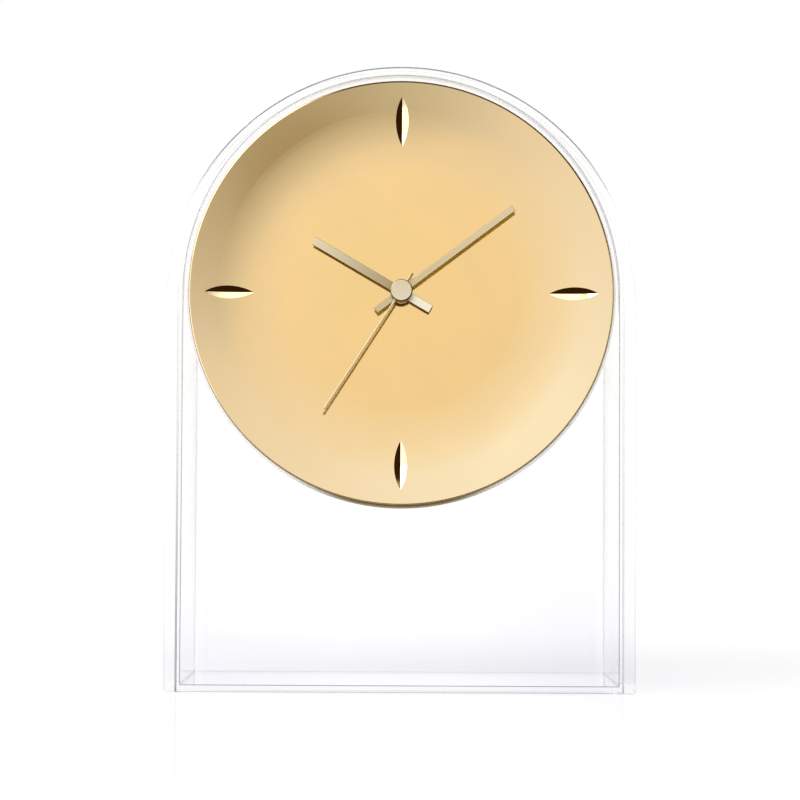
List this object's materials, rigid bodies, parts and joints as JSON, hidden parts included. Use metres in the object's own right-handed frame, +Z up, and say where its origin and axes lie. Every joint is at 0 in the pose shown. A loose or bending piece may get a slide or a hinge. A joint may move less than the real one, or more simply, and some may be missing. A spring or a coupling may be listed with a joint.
{
  "type": "mystery clock",
  "caption": "Arched table clock: a gold dished dial with square-ended hands floats in a clear acrylic case, carried on a drum that holds a quartz movement.",
  "frame": {"origin": "on the table, midway between the hub cap and the rear wall", "axes": "+Z up, -Y to the front with the dial, +X to the right seen from the front"},
  "size_m": [0.225, 0.0894, 0.3],
  "materials": {
    "clear_acrylic": "clear polished acrylic",
    "gold_metallised": "satin gold, metallised plastic",
    "champagne_metal": "satin champagne anodised",
    "brass": "turned",
    "steel": "plated",
    "black_plastic": "moulded, fine texture",
    "white_plastic": "moulded",
    "copper_wire": "enamelled wire",
    "board_green": "lacquered board",
    "battery_sleeve": "printed sleeve, plain",
    "rubber": "matte"
  },
  "bodies": {
    "case": {"outer_arch": "clear_acrylic", "inner_case": "clear_acrylic", "dial_dish": "gold_metallised", "movement_drum": "gold_metallised", "threaded_bushing": "brass", "hand_nut": "brass", "nut_washer": "brass", "dial_screws": "steel", "case_screws": "steel", "stator": "steel", "coil_core": "steel", "quartz_crystal": "steel", "positive_contact": "steel", "negative_contact": "steel", "movement_front_shell": "black_plastic", "movement_rear_shell": "black_plastic", "clock_chip": "black_plastic", "train_plate": "white_plastic", "coil_bobbin": "white_plastic", "coil_winding": "copper_wire", "circuit_board": "board_green", "battery": "battery_sleeve", "rubber_washer": "rubber"},
    "second_hand_group": {"second_hand": "champagne_metal", "hub_cap": "champagne_metal", "seconds_wheel": "white_plastic"},
    "third_wheel_group": {"third_wheel": "white_plastic"},
    "centre_wheel_group": {"centre_wheel": "brass"},
    "intermediate_wheel_group": {"intermediate_wheel": "white_plastic"},
    "rotor_group": {"rotor": "white_plastic"},
    "minute_hand_group": {"minute_hand": "champagne_metal", "minute_pipe": "brass"},
    "motion_wheel_group": {"motion_wheel": "white_plastic"},
    "hour_hand_group": {"hour_hand": "champagne_metal", "hour_wheel": "white_plastic"},
    "setting_knob_group": {"setting_knob": "black_plastic"}
  },
  "joints": [
    {"name": "second_hand_turn", "type": "hinge", "parent": "case", "child": "second_hand_group", "pos_m": [0, -0.0282, 0.1914], "axis": [0, 1, 0], "continuous": true},
    {"name": "third_wheel_turn", "type": "hinge", "parent": "case", "child": "third_wheel_group", "pos_m": [-0.009, -0.0282, 0.1914], "axis": [0, 1, 0], "continuous": true},
    {"name": "centre_wheel_turn", "type": "hinge", "parent": "case", "child": "centre_wheel_group", "pos_m": [0, -0.0282, 0.1914], "axis": [0, 1, 0], "continuous": true},
    {"name": "intermediate_wheel_turn", "type": "hinge", "parent": "case", "child": "intermediate_wheel_group", "pos_m": [-0.00311, -0.0282, 0.19995], "axis": [0, 1, 0], "continuous": true},
    {"name": "rotor_turn", "type": "hinge", "parent": "case", "child": "rotor_group", "pos_m": [-0.0082, -0.0282, 0.20602], "axis": [0, 1, 0], "continuous": true},
    {"name": "minute_hand_turn", "type": "hinge", "parent": "case", "child": "minute_hand_group", "pos_m": [0, -0.0282, 0.1914], "axis": [0, 1, 0], "continuous": true},
    {"name": "motion_wheel_turn", "type": "hinge", "parent": "case", "child": "motion_wheel_group", "pos_m": [0.00594, -0.0282, 0.19734], "axis": [0, 1, 0], "continuous": true},
    {"name": "hour_hand_turn", "type": "hinge", "parent": "case", "child": "hour_hand_group", "pos_m": [0, -0.0282, 0.1914], "axis": [0, 1, 0], "continuous": true},
    {"name": "setting_knob_turn", "type": "hinge", "parent": "case", "child": "setting_knob_group", "pos_m": [0.01262, -0.0282, 0.20402], "axis": [0, 1, 0], "continuous": true}
  ],
  "couplings": [
    {"joint": "third_wheel_turn", "follows": "second_hand_turn", "ratio": -0.13333},
    {"joint": "centre_wheel_turn", "follows": "second_hand_turn", "ratio": 0.016667},
    {"joint": "intermediate_wheel_turn", "follows": "second_hand_turn", "ratio": -6},
    {"joint": "rotor_turn", "follows": "second_hand_turn", "ratio": 30},
    {"joint": "motion_wheel_turn", "follows": "minute_hand_turn", "ratio": -0.33333},
    {"joint": "hour_hand_turn", "follows": "minute_hand_turn", "ratio": 0.083333},
    {"joint": "setting_knob_turn", "follows": "minute_hand_turn", "ratio": 0.66667}
  ]
}
